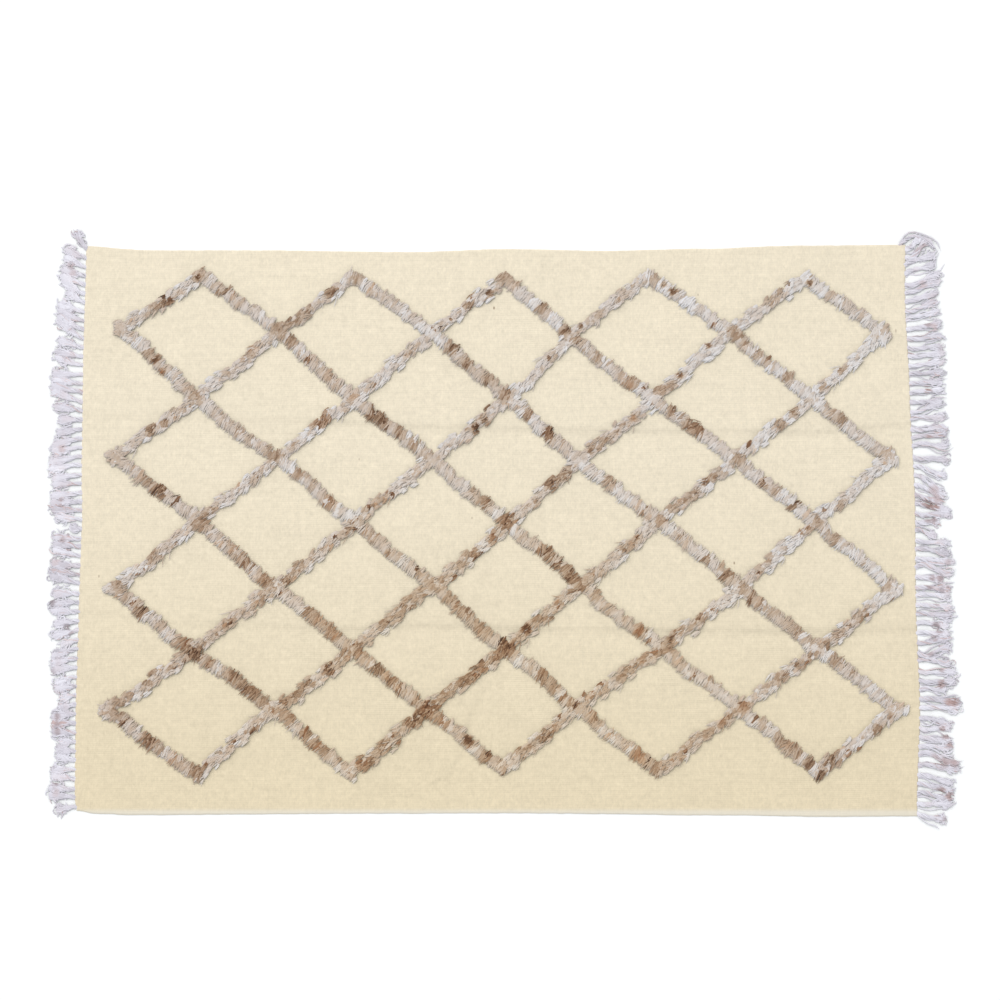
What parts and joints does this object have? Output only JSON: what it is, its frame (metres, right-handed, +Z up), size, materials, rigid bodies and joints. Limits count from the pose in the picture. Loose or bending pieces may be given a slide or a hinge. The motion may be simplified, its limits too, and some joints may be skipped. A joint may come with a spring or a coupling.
{
  "type": "kilim rug",
  "caption": "Flat-woven rug lying flat, with a raised diamond trellis of knotted pile and a fringe of twisted strands at each short end.",
  "frame": {"origin": "middle of the cloth's flat underside, on the floor", "axes": "+X along the rug's length, +Y across its width, +Z up out of the pile side"},
  "size_m": [2.0776, 1.3619, 0.0133],
  "materials": {
    "ground_wool": "matt flat-woven wool, cream, with a fine rib across the rug",
    "pile_wool": "soft undyed wool locks in silver grey, grey brown and rust brown",
    "fringe_yarn": "twisted pale grey yarn, frayed at the ends"
  },
  "bodies": {
    "root": {"ground": "ground_wool", "pile": "pile_wool", "fringe_left": "fringe_yarn", "fringe_right": "fringe_yarn"}
  },
  "joints": []
}
